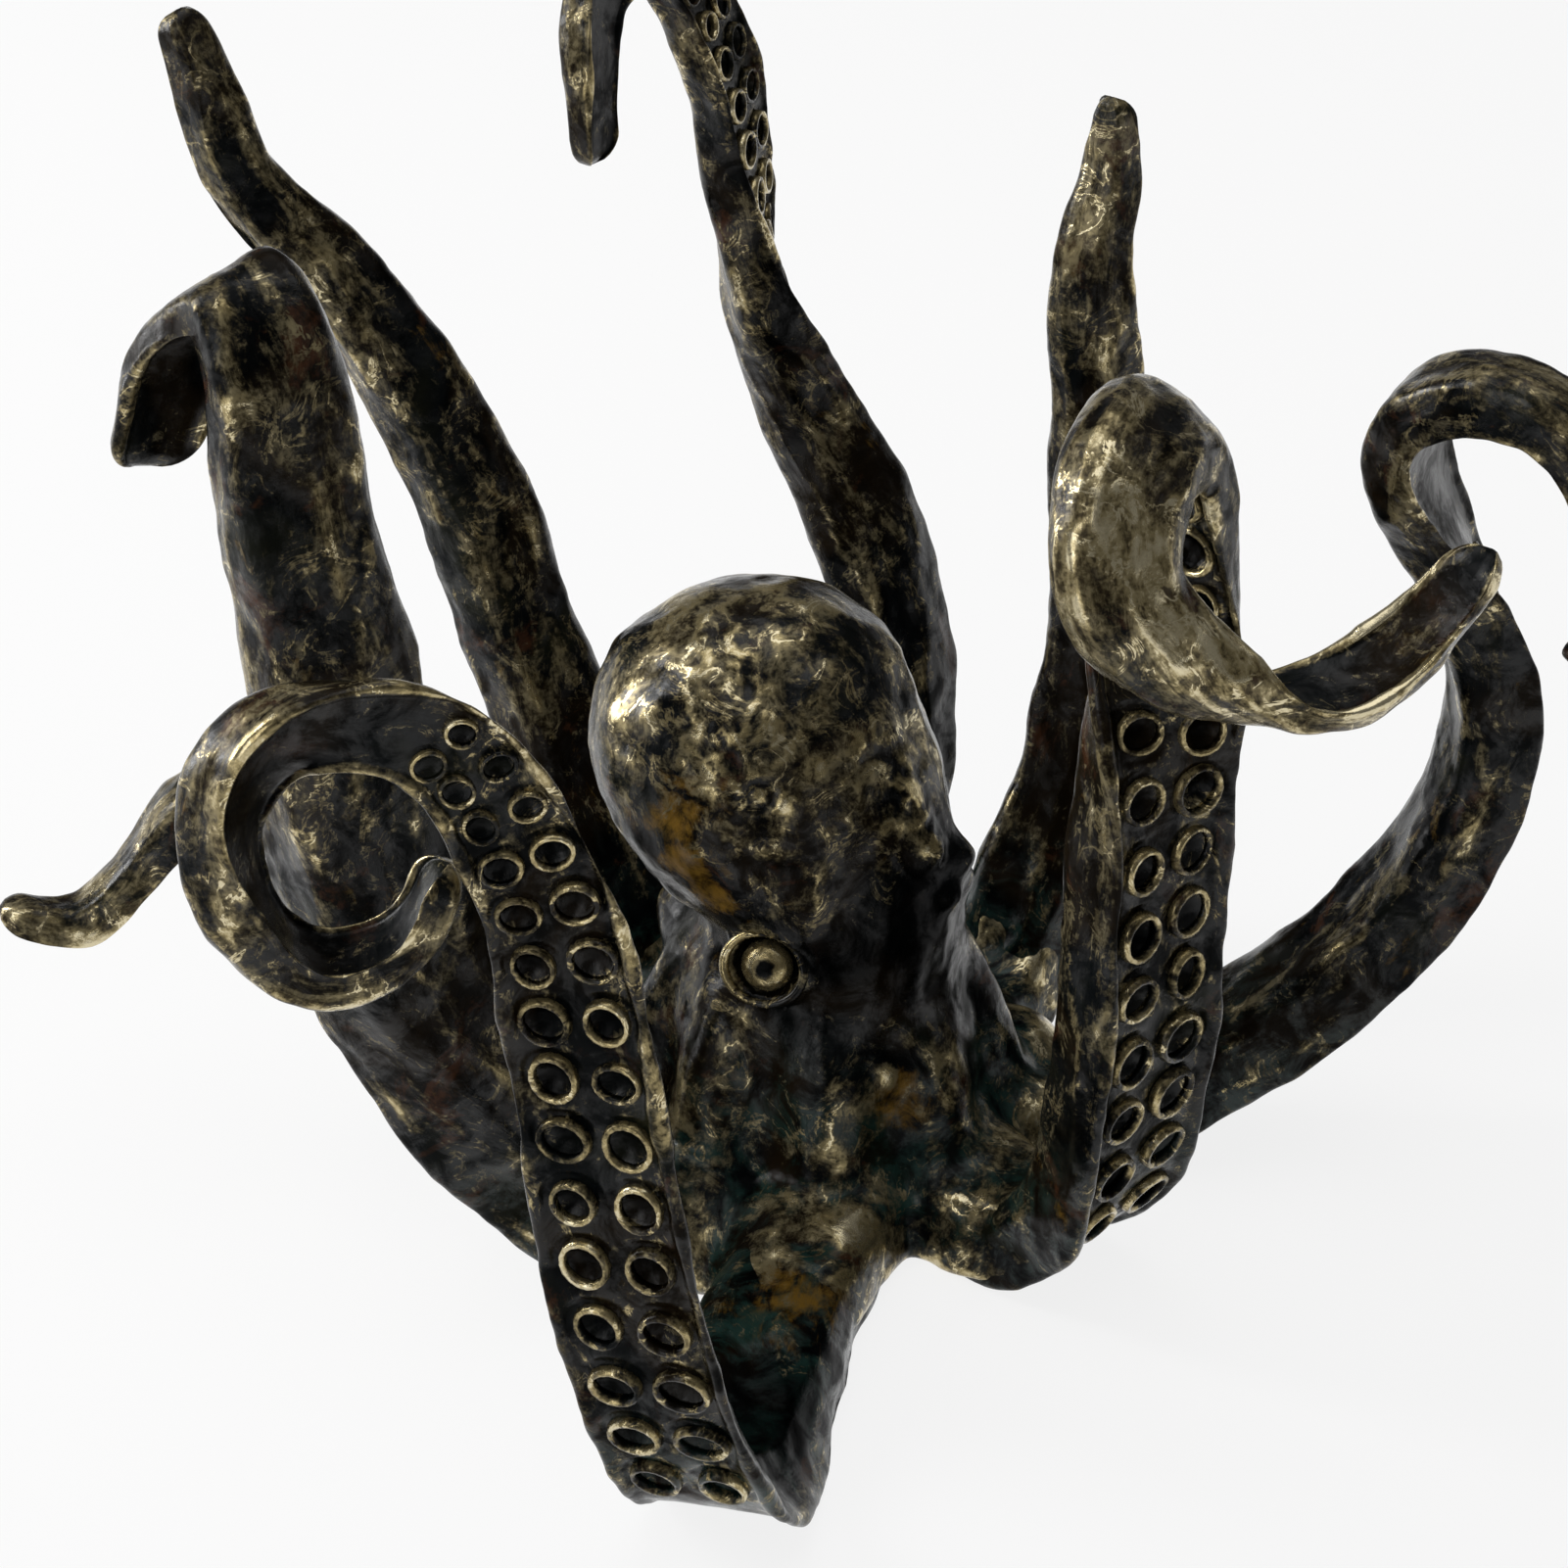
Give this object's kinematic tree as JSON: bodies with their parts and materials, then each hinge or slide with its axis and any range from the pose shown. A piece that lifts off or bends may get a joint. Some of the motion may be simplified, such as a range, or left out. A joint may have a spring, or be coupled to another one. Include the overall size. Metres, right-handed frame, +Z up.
{
  "type": "octopus figurine",
  "caption": "Cast octopus ornament that stands on its arms, with the suckered arms raised and curled round a leaning mantle, in an antiqued bronze finish.",
  "frame": {"origin": "middle of the hub's flat underside, on the table", "axes": "+Z up; +X to the right and -Y towards the viewer in the reference view; the front arm leaves the hub along -Y"},
  "size_m": [0.242, 0.1969, 0.1822],
  "materials": {
    "bronze": "dark brown-black patina, rubbed back to gold on edges, rims and lumps, satin to glossy",
    "eye": "rubbed gold bead with a dark pupil, glossy"
  },
  "bodies": {
    "root": {"body": "bronze", "arm_front": "bronze", "arm_front_right": "bronze", "arm_right": "bronze", "arm_back_right": "bronze", "arm_back": "bronze", "arm_back_left": "bronze", "arm_left": "bronze", "arm_front_left": "bronze", "eye_left": "eye", "eye_right": "eye"}
  },
  "joints": []
}
